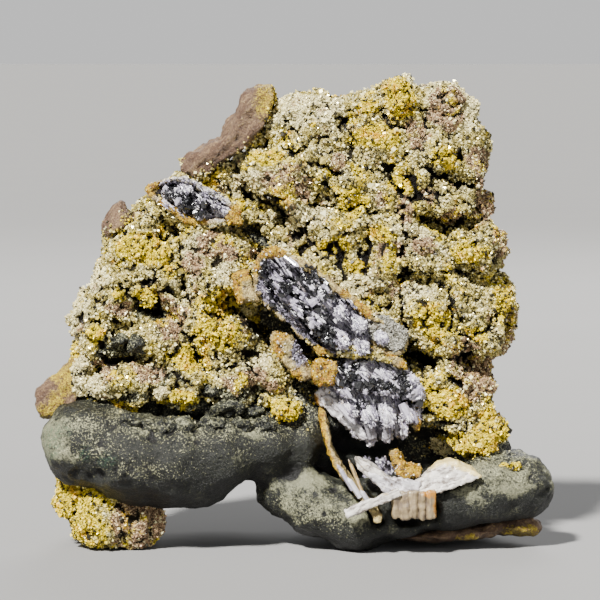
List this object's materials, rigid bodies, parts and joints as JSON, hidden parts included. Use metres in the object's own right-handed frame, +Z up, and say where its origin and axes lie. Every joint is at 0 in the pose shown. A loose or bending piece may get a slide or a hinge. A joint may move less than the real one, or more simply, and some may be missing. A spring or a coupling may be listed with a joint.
{
  "type": "pyrite specimen",
  "caption": "Free-standing mineral specimen: a rounded dark rock with a thick lumpy pyrite crust, crossed by a vein of pale and black crystals.",
  "frame": {"origin": "on the ground, under the middle of the specimen's box", "axes": "+Z up, -Y towards the viewer of the crystal face, +X to the right of that face"},
  "size_m": [0.1156, 0.0564, 0.1042],
  "materials": {
    "mudstone": "smooth rounded dark grey-green rock, half matt",
    "pyrite": "fine metallic pyrite grains, golden to olive and grey, with dark gaps",
    "brown_rind": "smooth matt pinkish-brown rind",
    "stained_rind": "cream rind with orange and ochre stains, matt",
    "white_crystal": "translucent white to lilac columns, with glossy black blocks on them"
  },
  "bodies": {
    "root": {"host_rock": "mudstone", "pyrite_crust": "pyrite", "pyrite_foot": "pyrite", "top_rind": "brown_rind", "left_rind": "brown_rind", "shoulder_lumps": "brown_rind", "base_flakes": "brown_rind", "vein_shell": "stained_rind", "vein_crystals": "white_crystal", "vein_flap": "stained_rind", "side_shell": "stained_rind", "ochre_block": "stained_rind", "lower_crystals": "white_crystal", "pocket_shell": "stained_rind", "pocket_crystals": "white_crystal", "thin_wall": "stained_rind", "stem_blade": "white_crystal", "cross_blade": "white_crystal", "wing_blade": "white_crystal", "orange_wall": "stained_rind", "fluted_block": "stained_rind", "cave_crystals": "white_crystal"}
  },
  "joints": []
}
